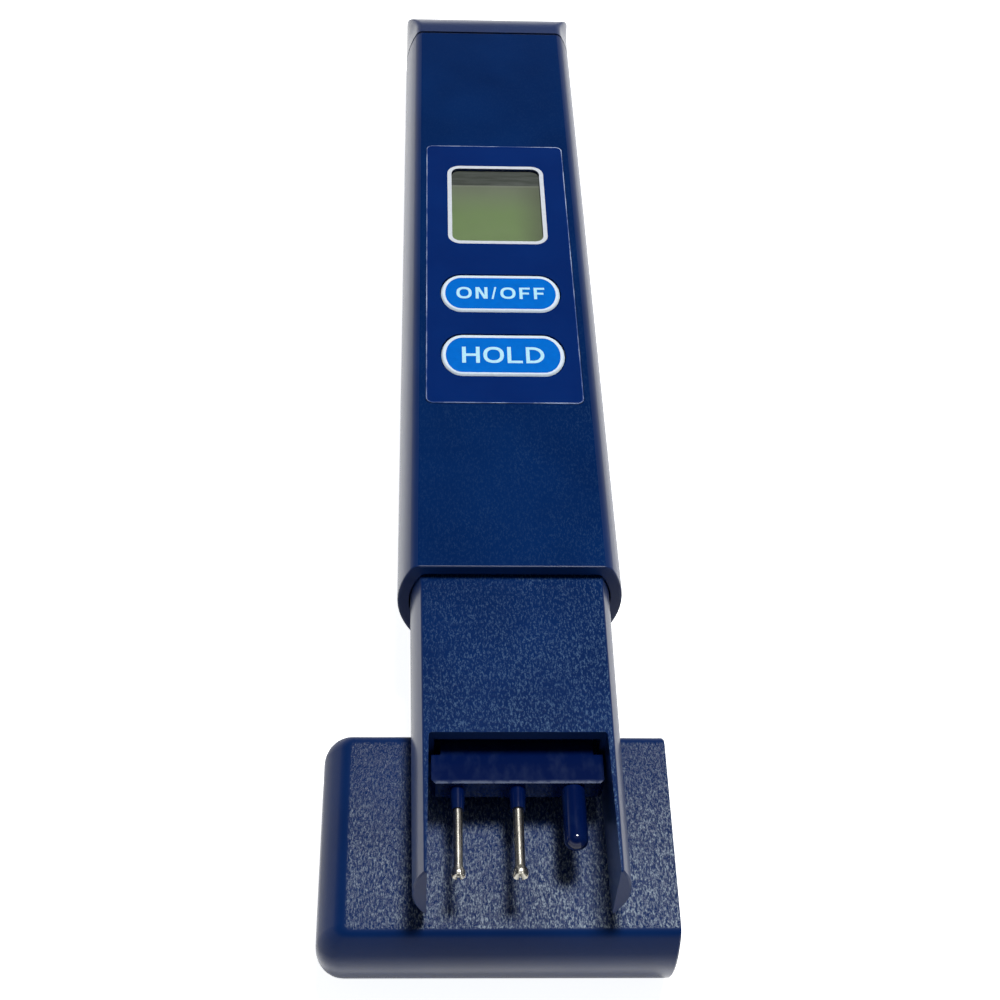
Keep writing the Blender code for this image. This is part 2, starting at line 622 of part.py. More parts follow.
def main():
    clear_scene()
    navy = make_material("navy_plastic", (0.003, 0.018, 0.098), 0.5)
    film = make_material("label_film", (0.002, 0.02, 0.14), 0.4)
    bright = make_material("key_plastic", (0.0, 0.16, 0.68), 0.35)
    clear = make_material("clear_acrylic", (0.8, 0.85, 0.85), 0.05)
    display = make_material("display_glass", (0.17, 0.28, 0.11), 0.2)
    black = make_material("black_rubber", (0.01, 0.01, 0.01), 0.7)
    white = make_material("white_plastic", (0.8, 0.8, 0.78), 0.4)
    board = make_material("board_laminate", (0.02, 0.2, 0.06), 0.5)
    steel = make_material("steel", (0.6, 0.58, 0.54), 0.3, 1.0)
    spring = make_material("spring_metal", (0.65, 0.6, 0.5), 0.35, 1.0)
    silver = make_material("pin_metal", (0.68, 0.64, 0.54), 0.3, 1.0)

    half_width = BODY_WIDTH / 2
    far_end = CAP_CENTRE_Y - half_width * math.cos(CAP_TURN)
    near_end = NOSE_RADIUS * (1 + math.sin(PEN_TILT)) - NOSE_CENTRE * math.cos(PEN_TILT)
    high_x = CAP_OPEN_X - half_width * math.sin(CAP_TURN)
    low_x = CAP_OPEN_X - CAP_LENGTH + (half_width - CAP_CORNER) * math.sin(CAP_TURN)
    middle_x = (low_x + high_x) / 2
    middle_y = (far_end + near_end) / 2
    sink = NOSE_CENTRE * math.sin(PEN_TILT) + NOSE_RADIUS * (math.cos(PEN_TILT) - 1)
    pen = make_empty("pen_frame", (-middle_x, -middle_y, -sink), -PEN_TILT)
    cap_place = (CAP_OPEN_X - middle_x, CAP_CENTRE_Y - middle_y, 0.0)
    bench = make_empty("cap_frame", cap_place, 0.0, CAP_TURN)

    make_housing(navy, pen)
    make_label(film, pen)
    make_display(white, clear, display, black, pen)
    for key, (station, half_height) in KEYS.items():
        make_key(key, station, half_height, bright, black, white, pen)
    make_electronics(board, black, steel, bright, pen)
    make_battery_bay(white, steel, spring, pen)
    make_battery_cap(navy, black, pen)
    make_sleeve(navy, pen)
    make_probe(navy, silver, pen)
    make_protective_cap(navy, bench)


main()
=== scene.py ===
"""Looks of the water test pen: materials, printed face, light and camera.

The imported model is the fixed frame. Everything is in metres, and MM turns millimetres into metres.
The pen frame used here is the CAD's: X across, Y towards the tail, Z up from the back face, with
its origin in the middle of the back face at the tail end. A station is a distance from that origin
towards the probe end, so it is minus Y.
"""
import json
import math

import bmesh
import bpy
from mathutils import Matrix, Vector


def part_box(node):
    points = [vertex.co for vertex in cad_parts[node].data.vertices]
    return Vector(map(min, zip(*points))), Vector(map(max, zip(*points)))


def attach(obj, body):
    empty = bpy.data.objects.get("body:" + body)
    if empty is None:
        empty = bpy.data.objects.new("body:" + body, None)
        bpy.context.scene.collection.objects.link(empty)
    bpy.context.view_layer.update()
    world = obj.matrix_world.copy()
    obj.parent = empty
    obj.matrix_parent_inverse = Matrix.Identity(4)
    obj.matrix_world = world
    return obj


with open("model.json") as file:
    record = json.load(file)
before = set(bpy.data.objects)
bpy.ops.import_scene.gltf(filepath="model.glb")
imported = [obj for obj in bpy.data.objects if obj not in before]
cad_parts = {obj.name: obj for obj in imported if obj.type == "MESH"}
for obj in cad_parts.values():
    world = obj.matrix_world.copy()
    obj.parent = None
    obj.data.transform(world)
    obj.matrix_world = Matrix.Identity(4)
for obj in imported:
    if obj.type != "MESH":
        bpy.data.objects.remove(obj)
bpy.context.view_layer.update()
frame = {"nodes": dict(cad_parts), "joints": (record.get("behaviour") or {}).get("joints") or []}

MM = 0.001
QUARTER = math.pi / 2

# Places on the pen, in millimetres, as the CAD has them: the adjuster's joint, the level of the
# film, and the front end and the top of the probe's plate.
TRIMMER_PLACE = (4.5, -72.0, 2.7)
FACE = 13.65
PLATE_END = 140.05
PLATE_TOP = 8.25

# Display window, in millimetres, with the share of its length that is the glass's connector ledge.
WINDOW_HALF = 6.45
WINDOW_START = 39.9
WINDOW_END = 56.3
WINDOW_CORNER = 1.2
LEDGE = 0.205

# Film on the front face, in millimetres.
LABEL_HALF = 10.1
LABEL_START = 34.45
LABEL_END = 88.05
LABEL_CORNER = 0.9

# Keys, in millimetres: level of their tops, half width, where the round ends start, chamfer, and
# the (station, half height) of each.
KEY_FACE = 13.7
KEY_HALF = 8.1
KEY_STRAIGHT = 5.3
KEY_CHAMFER = 0.2
KEYS = {"on_off": (67.23, 3.66), "hold": (79.27, 3.8)}

# Prints, in millimetres. An outer edge stands PRINT_SKIN proud, a hidden underside is sunk, and a
# line that runs over an edge reaches down the side by its drop.
PRINT_THICK = 0.02
PRINT_SKIN = 0.012
PRINT_SUNK = 0.01
FRAME_LINE = 0.6
KEY_LINE = 0.56
KEY_LINE_SHIFT = 0.1
KEY_LINE_DROP = 0.24
LABEL_LINE = 0.11
LABEL_LINE_DROP = 0.2

# Legend of each key: text, then station, letter height, length and stroke in millimetres.
LEGENDS = {"on_off": ("ON/OFF", 67.27, 2.3, 12.0, 0.42), "hold": ("HOLD", 79.35, 3.0, 10.8, 0.5)}


def joint(name):
    """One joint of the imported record."""
    return next(item for item in frame["joints"] if item["name"] == name)


def pen_matrix():
    """Pen frame to row frame, read from the adjuster's and the battery cap's joints."""
    up = Vector(joint("trimmer_turn")["axis"]).normalized()
    tail = Vector(joint("battery_cap_pull")["axis"]).normalized()
    across = tail.cross(up)
    turn = Matrix((across, tail, up)).transposed()
    origin = Vector(joint("trimmer_turn")["pos_m"]) - turn @ (Vector(TRIMMER_PLACE) * MM)
    return Matrix.Translation(origin) @ turn.to_4x4()


PEN = pen_matrix()


def point_on_pen(x, station, level):
    """Point of the row frame, in metres, for pen millimetres."""
    return PEN @ (Vector((x, -station, level)) * MM)


ACROSS = Vector((1.0, 0.0, 0.0))
UP = Vector((0.0, 0.0, 1.0))
PEN_UP = (PEN.to_3x3() @ UP).normalized()
PEN_TAIL = (PEN.to_3x3() @ Vector((0.0, 1.0, 0.0))).normalized()


# ---------------------------------------------------------------- node helpers

class Nodes:
    """Short names for building one material's node tree."""

    def __init__(self, name):
        self.material = bpy.data.materials.new(name)
        self.material.use_nodes = True
        self.tree = self.material.node_tree
        self.shader = self.tree.nodes["Principled BSDF"]
        self.output = self.tree.nodes["Material Output"]
        self.coordinates = self.tree.nodes.new("ShaderNodeTexCoord")

    def new(self, kind, **values):
        """A node with its properties set by name."""
        node = self.tree.nodes.new(kind)
        for key, value in values.items():
            setattr(node, key, value)
        return node

    def link(self, source, target):
        """Join an output socket to an input socket."""
        self.tree.links.new(source, target)

    def place(self, stretch=(1.0, 1.0, 1.0)):
        """Object coordinates, stretched along the row's axes."""
        mapping = self.new("ShaderNodeMapping")
        mapping.inputs["Scale"].default_value = stretch
        self.link(self.coordinates.outputs["Object"], mapping.inputs["Vector"])
        return mapping.outputs["Vector"]

    def noise(self, size_mm, detail=2.0, roughness=0.5, stretch=(1.0, 1.0, 1.0)):
        """Noise whose blobs are about size_mm across."""
        node = self.new("ShaderNodeTexNoise")
        node.inputs["Scale"].default_value = 1.0 / (size_mm * MM)
        node.inputs["Detail"].default_value = detail
        node.inputs["Roughness"].default_value = roughness
        self.link(self.place(stretch), node.inputs["Vector"])
        return node.outputs["Fac"]

    def band(self, value, low, high, out_low=0.0, out_high=1.0):
        """Map a value from one range to another, clamped."""
        node = self.new("ShaderNodeMapRange")
        node.inputs["From Min"].default_value = low
        node.inputs["From Max"].default_value = high
        node.inputs["To Min"].default_value = out_low
        node.inputs["To Max"].default_value = out_high
        self.link(value, node.inputs["Value"])
        return node.outputs["Result"]

    def math(self, operation, first, second=None):
        """Result of a Math node; each value is a number or a socket."""
        node = self.new("ShaderNodeMath", operation=operation)
        for socket, value in zip(node.inputs, (first, second)):
            if value is None:
                continue
            if isinstance(value, (int, float)):
                socket.default_value = value
            else:
                self.link(value, socket)
        return node.outputs["Value"]

    def product(self, first, *others):
        """Product of sockets and numbers."""
        result = first
        for value in others:
            result = self.math("MULTIPLY", result, value)
        return result

    def mix(self, factor, first, second):
        """Mix of two colours, each a tuple or a socket."""
        node = self.new("ShaderNodeMix", data_type="RGBA")
        self.link(factor, node.inputs["Factor"])
        for label, value in (("A", first), ("B", second)):
            socket = next(item for item in node.inputs if item.name == label and item.type == "RGBA")
            if isinstance(value, tuple):
                socket.default_value = (*value, 1.0)
            else:
                self.link(value, socket)
        return next(item for item in node.outputs if item.type == "RGBA")

    def along(self, axis):
        """One of the object coordinates, in metres."""
        split = self.new("ShaderNodeSeparateXYZ")
        self.link(self.coordinates.outputs["Object"], split.inputs["Vector"])
        return split.outputs[axis]

    def towards(self, direction):
        """Cosine between the surface's own normal and a direction of the row frame."""
        dot = self.new("ShaderNodeVectorMath", operation="DOT_PRODUCT")
        self.link(self.coordinates.outputs["Normal"], dot.inputs[0])
        dot.inputs[1].default_value = direction
        return dot.outputs["Value"]

    def facing(self, direction):
        """The same cosine for a line: it counts both ways along the direction."""
        return self.math("ABSOLUTE", self.towards(direction))

    def bump(self, height, depth_mm, strength=1.0, strength_from=None):
        """Normal bent by a height, whose 0 to 1 stands for depth_mm of relief."""
        node = self.new("ShaderNodeBump")
        node.inputs["Distance"].default_value = depth_mm * MM
        node.inputs["Strength"].default_value = strength
        if strength_from is not None:
            self.link(strength_from, node.inputs["Strength"])
        self.link(height, node.inputs["Height"])
        return node.outputs["Normal"]

    def set(self, label, value):
        """A number, colour or socket for one of the shader's sockets."""
        socket = self.shader.inputs[label]
        if isinstance(value, (int, float)):
            socket.default_value = value
        elif isinstance(value, tuple):
            socket.default_value = (*value, 1.0)
        else:
            self.link(value, socket)


# ---------------------------------------------------------------- materials

NAVY = (0.0010, 0.0185, 0.097)
NAVY_DEEP = (0.0006, 0.0145, 0.080)
GLOSSY_NAVY = (0.0004, 0.0065, 0.055)
# Pale navy of the painted reflection haze and of the plate's front-top edge, a painted highlight with
# some wear.
SHEEN_AND_WEAR_NAVY = (0.032, 0.068, 0.16)
# Colours of the painted glints, highlights painted on the grain's crests: faint on the body and battery
# cap, bright on the sleeve, palest on the cap.
FAINT_PAINTED_GLINTS = (0.02, 0.055, 0.14)
SLEEVE_PAINTED_GLINTS = (0.078, 0.145, 0.265)
CAP_PAINTED_GLINTS = (0.27, 0.33, 0.4)
FLAT_FROM, FLAT_TO = 0.975, 0.997
GLINT_LEVEL = 0.53
EDGE_ROUGHNESS = 0.4
COAT_ROUGHNESS = 0.22


def painted_glint_amount(nodes, piece, coarse, fine, flat, share, contrast):
    """How much of the painted glints shows, on the flat faces of a piece.

    The glints are painted highlights on the crests of the grain. They grow towards the near end and the
    right side as painted light.
    """
    near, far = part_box(piece)
    low, high = GLINT_LEVEL - contrast, GLINT_LEVEL + contrast
    crests = nodes.product(nodes.band(coarse, low, high), nodes.band(fine, low - 0.06, high))
    patchy = nodes.band(nodes.noise(5.0), 0.3, 0.7, 0.6, 1.0)
    # Painted light: the glints grow brighter towards the near end and the right side.
    painted_light_near = nodes.band(nodes.along("Y"), far.y, near.y, 0.2, 1.2)
    painted_light_right = nodes.band(nodes.along("X"), near.x, far.x, 0.65, 1.3)
    return nodes.product(crests, patchy, painted_light_near, painted_light_right, flat, share)


def coat_weight(nodes, coat, side_edge, belly):
    """Clear coat on the surfaces that turn to the sides, the tail or the bench."""
    side = nodes.band(nodes.facing(ACROSS), *side_edge)
    tail = nodes.band(nodes.towards(PEN_TAIL), 0.08, 0.4)
    below = nodes.band(nodes.towards(-UP), belly, belly + 0.25)
    return nodes.math("MAXIMUM", nodes.product(nodes.math("MAXIMUM", side, tail), coat), below)


def navy_plastic(name, piece, up, grain_mm, grain_depth, roughness, specular, coat, glint_share, contrast,
                 glint_colour, side_edge=(0.56, 0.78), belly=0.0):
    """Moulded navy plastic: spark-eroded grain on the flat faces with painted glints on its crests, plain
    satin on the bowed sides.
    """
    nodes = Nodes(name)
    flat = nodes.band(nodes.facing(up), FLAT_FROM, FLAT_TO)
    coarse = nodes.noise(grain_mm, 1.5, 0.5, (1.0, 0.4, 1.0))
    fine = nodes.noise(grain_mm * 0.55, 1.0, 0.5, (1.0, 0.5, 1.0))
    colour = nodes.mix(nodes.band(nodes.noise(14.0), 0.35, 0.65), NAVY_DEEP, NAVY)
    # Painted glints: the grain's crests are painted pale as highlights.
    painted_glints = painted_glint_amount(nodes, piece, coarse, fine, flat, glint_share, contrast)
    nodes.set("Base Color", nodes.mix(painted_glints, colour, glint_colour))
    grain = nodes.math("ADD", coarse, nodes.product(fine, 0.6))
    grain_share = nodes.band(flat, 0.0, 1.0, 0.06, 1.0)
    nodes.set("Normal", nodes.bump(grain, grain_depth, strength_from=grain_share))
    nodes.set("Roughness", nodes.band(flat, 0.0, 1.0, EDGE_ROUGHNESS, roughness))
    nodes.set("Specular IOR Level", specular)
    nodes.set("Coat Weight", coat_weight(nodes, coat, side_edge, belly))
    nodes.set("Coat Roughness", COAT_ROUGHNESS)
    return nodes.material


def housing_plastic():
    """Body of the pen: the finest grain with faint painted glints, with its bands of reflection narrow
    along the sides.
    """
    return navy_plastic("navy_housing", "main_housing", PEN_UP, grain_mm=0.22, grain_depth=0.005,
                        roughness=0.16, specular=0.22, coat=0.78, glint_share=0.4, contrast=0.08,
                        glint_colour=FAINT_PAINTED_GLINTS, side_edge=(0.86, 0.94))


def end_cap_plastic():
    """Battery cap: the body's grain with faint painted glints, more satin."""
    return navy_plastic("navy_end_cap", "battery_cap", PEN_UP, grain_mm=0.22, grain_depth=0.005,
                        roughness=0.42, specular=0.6, coat=1.0, glint_share=0.4, contrast=0.08,
                        glint_colour=FAINT_PAINTED_GLINTS)


def sleeve_plastic():
    """Probe sleeve: a clearly visible grain, with bright painted glints on its crests."""
    return navy_plastic("navy_sleeve", "probe_sleeve", PEN_UP, grain_mm=0.21, grain_depth=0.03,
                        roughness=0.2, specular=0.22, coat=0.75, glint_share=1.0, contrast=0.09,
                        glint_colour=SLEEVE_PAINTED_GLINTS)


def cap_plastic():
    """Protective cap: the coarsest grain, with the palest painted glints on its crests."""
    return navy_plastic("navy_cap", "protective_cap", UP, grain_mm=0.21, grain_depth=0.12,
                        roughness=0.28, specular=0.14, coat=0.06, glint_share=1.2, contrast=0.12,
                        glint_colour=CAP_PAINTED_GLINTS, belly=-0.3)


def glossy_navy():
    """Smooth moulding of the probe and of the sensor sheath, with painted reflection haze and a pale
    front-top edge on the plate that is a painted highlight with some wear.
    """
    nodes = Nodes("glossy_navy_plastic")
    # Painted reflection: pale haze streaks in the colour.
    haze = nodes.band(nodes.noise(1.6, 3.0, 0.6, (1.0, 0.5, 0.5)), 0.5, 0.8, 0.0, 0.14)
    # Painted highlight with some wear along the plate's front-top edge, patchy.
    edge = point_on_pen(0.0, PLATE_END, PLATE_TOP).y
    behind_edge = nodes.band(nodes.along("Y"), edge + 0.5 * MM, edge + 0.1 * MM)
    before_edge = nodes.band(nodes.along("Y"), edge - 0.02 * MM, edge - 0.01 * MM)
    patchy = nodes.band(nodes.noise(0.8, 3.0, 0.6), 0.3, 0.7, 0.25, 0.75)
    on_top = nodes.band(nodes.facing(PEN_UP), 0.7, 0.9)
    pale_share = nodes.math("MAXIMUM", nodes.product(behind_edge, before_edge, patchy, on_top), haze)
    nodes.set("Base Color", nodes.mix(pale_share, GLOSSY_NAVY, SHEEN_AND_WEAR_NAVY))
    nodes.set("Roughness", nodes.band(pale_share, 0.0, 0.5, 0.1, 0.35))
    nodes.set("Normal", nodes.bump(nodes.noise(1.2), 0.01, 0.3))
    return nodes.material


def label_film():
    """Printed film: a cleaner, slightly brighter blue than the housing."""
    nodes = Nodes("label_film")
    cloudy = nodes.band(nodes.noise(9.0, 3.0), 0.35, 0.65)
    nodes.set("Base Color", nodes.mix(cloudy, (0.0006, 0.0165, 0.118), (0.0008, 0.0195, 0.132)))
    nodes.set("Roughness", nodes.band(nodes.noise(0.6, 3.0), 0.3, 0.7, 0.14, 0.18))
    nodes.set("Normal", nodes.bump(nodes.noise(0.35), 0.002, 0.4))
    return nodes.material


def label_rim():
    """Pale edge of the film, patchy along its length."""
    nodes = Nodes("label_rim")
    pale_share = nodes.band(nodes.noise(4.5, 4.0, 0.65), 0.38, 0.68)
    nodes.set("Base Color", nodes.mix(pale_share, (0.03, 0.07, 0.24), (0.42, 0.5, 0.72)))
    nodes.set("Roughness", 0.4)
    return nodes.material


def key_blue():
    """Bright blue of the two keys."""
    nodes = Nodes("key_blue")
    cloudy = nodes.band(nodes.noise(1.1, 3.0, 0.6), 0.3, 0.7)
    nodes.set("Base Color", nodes.mix(cloudy, (0.0, 0.125, 0.54), (0.0, 0.145, 0.6)))
    nodes.set("Roughness", nodes.band(nodes.noise(0.4), 0.3, 0.7, 0.15, 0.2))
    nodes.set("Normal", nodes.bump(nodes.noise(0.3), 0.002, 0.4))
    return nodes.material


def print_ink(name, colour):
    """Pale screen print, a little uneven."""
    nodes = Nodes(name)
    uneven = nodes.band(nodes.noise(0.35, 3.0, 0.6), 0.3, 0.7)
    thinner = tuple(0.88 * value for value in colour)
    nodes.set("Base Color", nodes.mix(uneven, thinner, colour))
    nodes.set("Roughness", 0.4)
    return nodes.material


def display_glass():
    """Liquid crystal display, off: grey connector ledge at the tail side, olive reflector below it, with
    painted shade and reflection that make the olive greyer near the ledge and darker along the right
    side.
    """
    nodes = Nodes("display_glass")
    start = point_on_pen(0.0, WINDOW_START, FACE)
    end = point_on_pen(0.0, WINDOW_END, FACE)
    down = nodes.band(nodes.along("Y"), start.y, end.y)
    across = nodes.band(nodes.along("X"), start.x - WINDOW_HALF * MM, start.x + WINDOW_HALF * MM)
    streaks = nodes.band(nodes.noise(0.5, 3.0, 0.6, (0.12, 1.0, 1.0)), 0.35, 0.7)
    uneven = nodes.band(nodes.noise(1.4, 3.0, 0.6), 0.3, 0.8, 0.0, 0.35)
    # Painted shade and reflection: the olive is darker and greyer along the right side.
    right_side_shade = nodes.band(across, 0.7, 1.0, 0.0, 0.75)
    pale_line = nodes.band(down, LEDGE + 0.03, LEDGE, 0.0, 0.8)
    grey = nodes.mix(streaks, (0.075, 0.078, 0.07), (0.13, 0.132, 0.125))
    # Painted shade and reflection from the window's depth: the olive is greyer just below the ledge and
    # greener further down.
    olive = nodes.mix(nodes.band(down, LEDGE + 0.02, 0.6), (0.205, 0.212, 0.165), (0.222, 0.298, 0.134))
    olive = nodes.mix(uneven, olive, (0.23, 0.27, 0.16))
    olive = nodes.mix(right_side_shade, olive, (0.15, 0.155, 0.115))
    olive = nodes.mix(pale_line, olive, (0.27, 0.27, 0.225))
    past_ledge = nodes.band(down, LEDGE - 0.004, LEDGE + 0.004)
    nodes.set("Base Color", nodes.mix(past_ledge, grey, olive))
    nodes.set("Roughness", 0.3)
    return nodes.material


def clear_window():
    """Clear acrylic: mirror-like at a slant, open to light straight through."""
    nodes = Nodes("clear_window")
    haze = nodes.band(nodes.noise(4.0, 3.0), 0.4, 0.8, 0.0, 0.04)
    clear = nodes.new("ShaderNodeBsdfTransparent")
    clear.inputs["Color"].default_value = (0.93, 0.95, 0.94, 1.0)
    fresnel = nodes.new("ShaderNodeFresnel")
    fresnel.inputs["IOR"].default_value = 1.49
    outside = nodes.math("SUBTRACT", 1.0, nodes.new("ShaderNodeNewGeometry").outputs["Backfacing"])
    share = nodes.product(nodes.math("ADD", fresnel.outputs["Fac"], haze), outside)
    gloss = nodes.new("ShaderNodeBsdfGlossy")
    gloss.inputs["Roughness"].default_value = 0.06
    mixer = nodes.new("ShaderNodeMixShader")
    nodes.link(share, mixer.inputs["Fac"])
    nodes.link(clear.outputs["BSDF"], mixer.inputs[1])
    nodes.link(gloss.outputs["BSDF"], mixer.inputs[2])
    nodes.link(mixer.outputs["Shader"], nodes.output.inputs["Surface"])
    return nodes.material


def metal(name, light, dark, roughness, stretch, size_mm):
    """Drawn or rolled metal with fine marks along one direction."""
    nodes = Nodes(name)
    marks = nodes.noise(size_mm, 4.0, 0.65, stretch)
    nodes.set("Base Color", nodes.mix(nodes.band(marks, 0.3, 0.7), dark, light))
    nodes.set("Metallic", 1.0)
    nodes.set("Roughness", nodes.band(marks, 0.3, 0.7, roughness + 0.12, roughness))
    nodes.set("Normal", nodes.bump(marks, 0.01, 0.5))
    return nodes.material


def plain(name, first, second, roughness):
    """Moulded or rubber surface with slight colour and roughness variation."""
    nodes = Nodes(name)
    cloudy = nodes.noise(1.5, 3.0)
    nodes.set("Base Color", nodes.mix(nodes.band(cloudy, 0.3, 0.7), first, second))
    nodes.set("Roughness", nodes.band(cloudy, 0.3, 0.7, roughness - 0.05, roughness + 0.05))
    nodes.set("Normal", nodes.bump(nodes.noise(0.375), 0.01, 0.5))
    return nodes.material


def board_green():
    """Circuit board: solder mask with the faint pattern of tracks under it."""
    nodes = Nodes("board_green")
    tracks = nodes.new("ShaderNodeTexBrick")
    tracks.inputs["Scale"].default_value = 180.0
    tracks.inputs["Mortar Size"].default_value = 0.03
    nodes.link(nodes.place(), tracks.inputs["Vector"])
    nodes.set("Base Color", nodes.mix(tracks.outputs["Fac"], (0.008, 0.09, 0.03), (0.02, 0.18, 0.06)))
    nodes.set("Roughness", 0.35)
    return nodes.material


# ---------------------------------------------------------------- shapes

def arc(centre_x, centre_y, radius, start, end, steps):
    """Points along a circular arc."""
    points = []
    for step in range(steps + 1):
        angle = start + (end - start) * step / steps
        points.append((centre_x + radius * math.cos(angle), centre_y + radius * math.sin(angle)))
    return points


def rounded_rectangle(half, start, end, corner, grow):
    """Plan outline in (x, station) with round corners, grown on every side."""
    right = half - corner
    low, high = start + corner, end - corner
    centres = ((right, high), (-right, high), (-right, low), (right, low))
    outline = []
    for turns, (x, station) in enumerate(centres):
        outline += arc(x, station, corner + grow, turns * QUARTER, (turns + 1) * QUARTER, 8)
    return outline


def pill(station, half_height, grow):
    """Plan outline of a key in (x, station), grown on every side."""
    outline = []
    for side, start in ((1, -QUARTER), (-1, QUARTER)):
        for x, y in arc(0.0, 0.0, 1.0, start, start + math.pi, 24):
            across = side * KEY_STRAIGHT + x * (KEY_HALF - KEY_STRAIGHT + grow)
            outline.append((across, station + y * (half_height + grow)))
    return outline


def ring_solid(outlines):
    """Closed ring through outlines given as (points, level): the last one joins the first."""
    solid = bmesh.new()
    rings = []
    for outline, level in outlines:
        rings.append([solid.verts.new((x, -station, level)) for x, station in outline])
    count = len(rings[0])
    for index, ring in enumerate(rings):
        following = rings[(index + 1) % len(rings)]
        for step in range(count):
            after = (step + 1) % count
            solid.faces.new((ring[step], ring[after], following[after], following[step]))
    return solid


def add_mesh(name, solid, material, body, smooth=40):
    """Put a bmesh drawn in pen millimetres into the row frame as a piece."""
    bmesh.ops.scale(solid, vec=(MM, MM, MM), verts=solid.verts)
    bmesh.ops.transform(solid, matrix=PEN, verts=solid.verts)
    bmesh.ops.recalc_face_normals(solid, faces=solid.faces)
    mesh = bpy.data.meshes.new(name)
    solid.to_mesh(mesh)
    solid.free()
    mesh.materials.append(material)
    mesh.shade_smooth()
    mesh.set_sharp_from_angle(angle=math.radians(smooth))
    piece = bpy.data.objects.new(name, mesh)
    bpy.context.scene.collection.objects.link(piece)
    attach(piece, body)


# ---------------------------------------------------------------- printed face

def window_frame(material):
    """White printed frame round the display window."""
    inner, outer = (rounded_rectangle(WINDOW_HALF, WINDOW_START, WINDOW_END, WINDOW_CORNER, grow)
                    for grow in (0.0, FRAME_LINE))
    top = FACE + PRINT_THICK
    sunk = FACE - PRINT_SUNK
    rows = [(inner, sunk), (inner, top), (outer, top), (outer, sunk)]
    add_mesh("window_frame_print", ring_solid(rows), material, "pen")


def label_edge(material):
    """Pale edge line of the film."""
    outer, inner = (rounded_rectangle(LABEL_HALF, LABEL_START, LABEL_END, LABEL_CORNER, grow)
                    for grow in (PRINT_SKIN, -LABEL_LINE))
    top = FACE + PRINT_SKIN
    rows = [(outer, FACE - LABEL_LINE_DROP), (outer, top), (inner, top), (inner, FACE - PRINT_SUNK)]
    add_mesh("label_edge", ring_solid(rows), material, "pen")


def key_outline(key, station, half_height, material):
    """White printed line that runs over the rim of a key."""
    top = KEY_FACE + PRINT_THICK
    sunk = KEY_FACE - PRINT_SUNK
    hem = KEY_FACE - KEY_LINE_DROP
    inner = pill(station + KEY_LINE_SHIFT, half_height, -KEY_LINE)
    rows = [
        (pill(station, half_height, PRINT_SKIN - PRINT_THICK), hem),
        (pill(station, half_height, PRINT_SKIN), hem),
        (pill(station, half_height, PRINT_SKIN), KEY_FACE - KEY_CHAMFER),
        (pill(station, half_height, PRINT_SKIN - KEY_CHAMFER), top),
        (inner, top),
        (inner, sunk),
        (pill(station, half_height, -KEY_CHAMFER - PRINT_THICK), sunk),
    ]
    add_mesh(key + "_outline", ring_solid(rows), material, key + "_key")


def oval(width, height, inset):
    """Rounded oval of the letter O, between an ellipse and a rectangle."""
    loop = []
    for x, y in arc(0.0, 0.0, 1.0, 0.0, 2 * math.pi, 48)[:-1]:
        across = math.copysign(abs(x) ** 0.86, x)
        rise = math.copysign(abs(y) ** 0.86, y)
        loop.append((width / 2 + (width / 2 - inset) * across, height / 2 + (height / 2 - inset) * rise))
    return loop


def bowl(width, height, inset):
    """D-shaped loop: straight on the left, round on the right."""
    radius = height / 2 - inset
    reach = radius * 0.98
    loop = [(inset, height - inset), (inset, inset)]
    for x, y in arc(0.0, 0.0, 1.0, -QUARTER, QUARTER, 24):
        loop.append((width - inset - reach + x * reach, height / 2 + y * radius))
    return loop


def letter_h(width, height, stroke):
    """Two posts and a bar."""
    inner = width - stroke
    low, high = height / 2 - stroke * 0.46, height / 2 + stroke * 0.46
    return [[(0, 0), (stroke, 0), (stroke, low), (inner, low), (inner, 0), (width, 0), (width, height),
             (inner, height), (inner, high), (stroke, high), (stroke, height), (0, height)]]


def letter_l(width, height, stroke):
    """A post and a slightly thinner foot."""
    foot = stroke * 0.9
    return [[(0, 0), (width, 0), (width, foot), (stroke, foot), (stroke, height), (0, height)]]


def letter_n(width, height, stroke):
    """Two posts and a slanting stroke."""
    slant = stroke * 1.25
    drop = slant * 1.35
    inner = width - stroke
    return [[(0, 0), (stroke, 0), (stroke, height - drop), (width - slant, 0), (width, 0),
             (width, height), (inner, height), (inner, drop), (slant, height), (0, height)]]


def letter_f(width, height, stroke):
    """A post and two slightly thinner arms, the lower one shorter."""
    arm = stroke * 0.9
    low, high = height / 2 - arm * 0.6, height / 2 + arm * 0.4
    reach = width * 0.9
    return [[(0, 0), (stroke, 0), (stroke, low), (reach, low), (reach, high), (stroke, high),
             (stroke, height - arm), (width, height - arm), (width, height), (0, height)]]


def slash(width, height, stroke):
    """A thin slanting stroke, a little taller than the letters."""
    thick = stroke * 0.62
    over = height * 0.02
    return [[(0, -over), (thick, -over), (width, height + over), (width - thick, height + over)]]


def letter_d(width, height, stroke):
    """A bowl with its hole."""
    return [bowl(width, height, 0.0), bowl(width, height, stroke * 0.95)]


def letter_o(width, height, stroke):
    """An oval with its hole."""
    return [oval(width, height, 0.0), oval(width, height, stroke * 0.98)]


# Each letter's width as a share of its height, and the function that draws its loops.
LETTERS = {
    "D": (0.8, letter_d),
    "F": (0.63, letter_f),
    "H": (0.775, letter_h),
    "L": (0.665, letter_l),
    "N": (0.71, letter_n),
    "O": (0.9, letter_o),
    "/": (0.3, slash),
}


def drawing_solid(curve):
    """The filled and extruded drawing as a closed bmesh."""
    drawing = bpy.data.objects.new(curve.name, curve)
    bpy.context.scene.collection.objects.link(drawing)
    mesh = bpy.data.meshes.new_from_object(drawing)
    bpy.data.objects.remove(drawing)
    solid = bmesh.new()
    solid.from_mesh(mesh)
    bpy.data.meshes.remove(mesh)
    bmesh.ops.remove_doubles(solid, verts=solid.verts, dist=0.0005)
    return solid


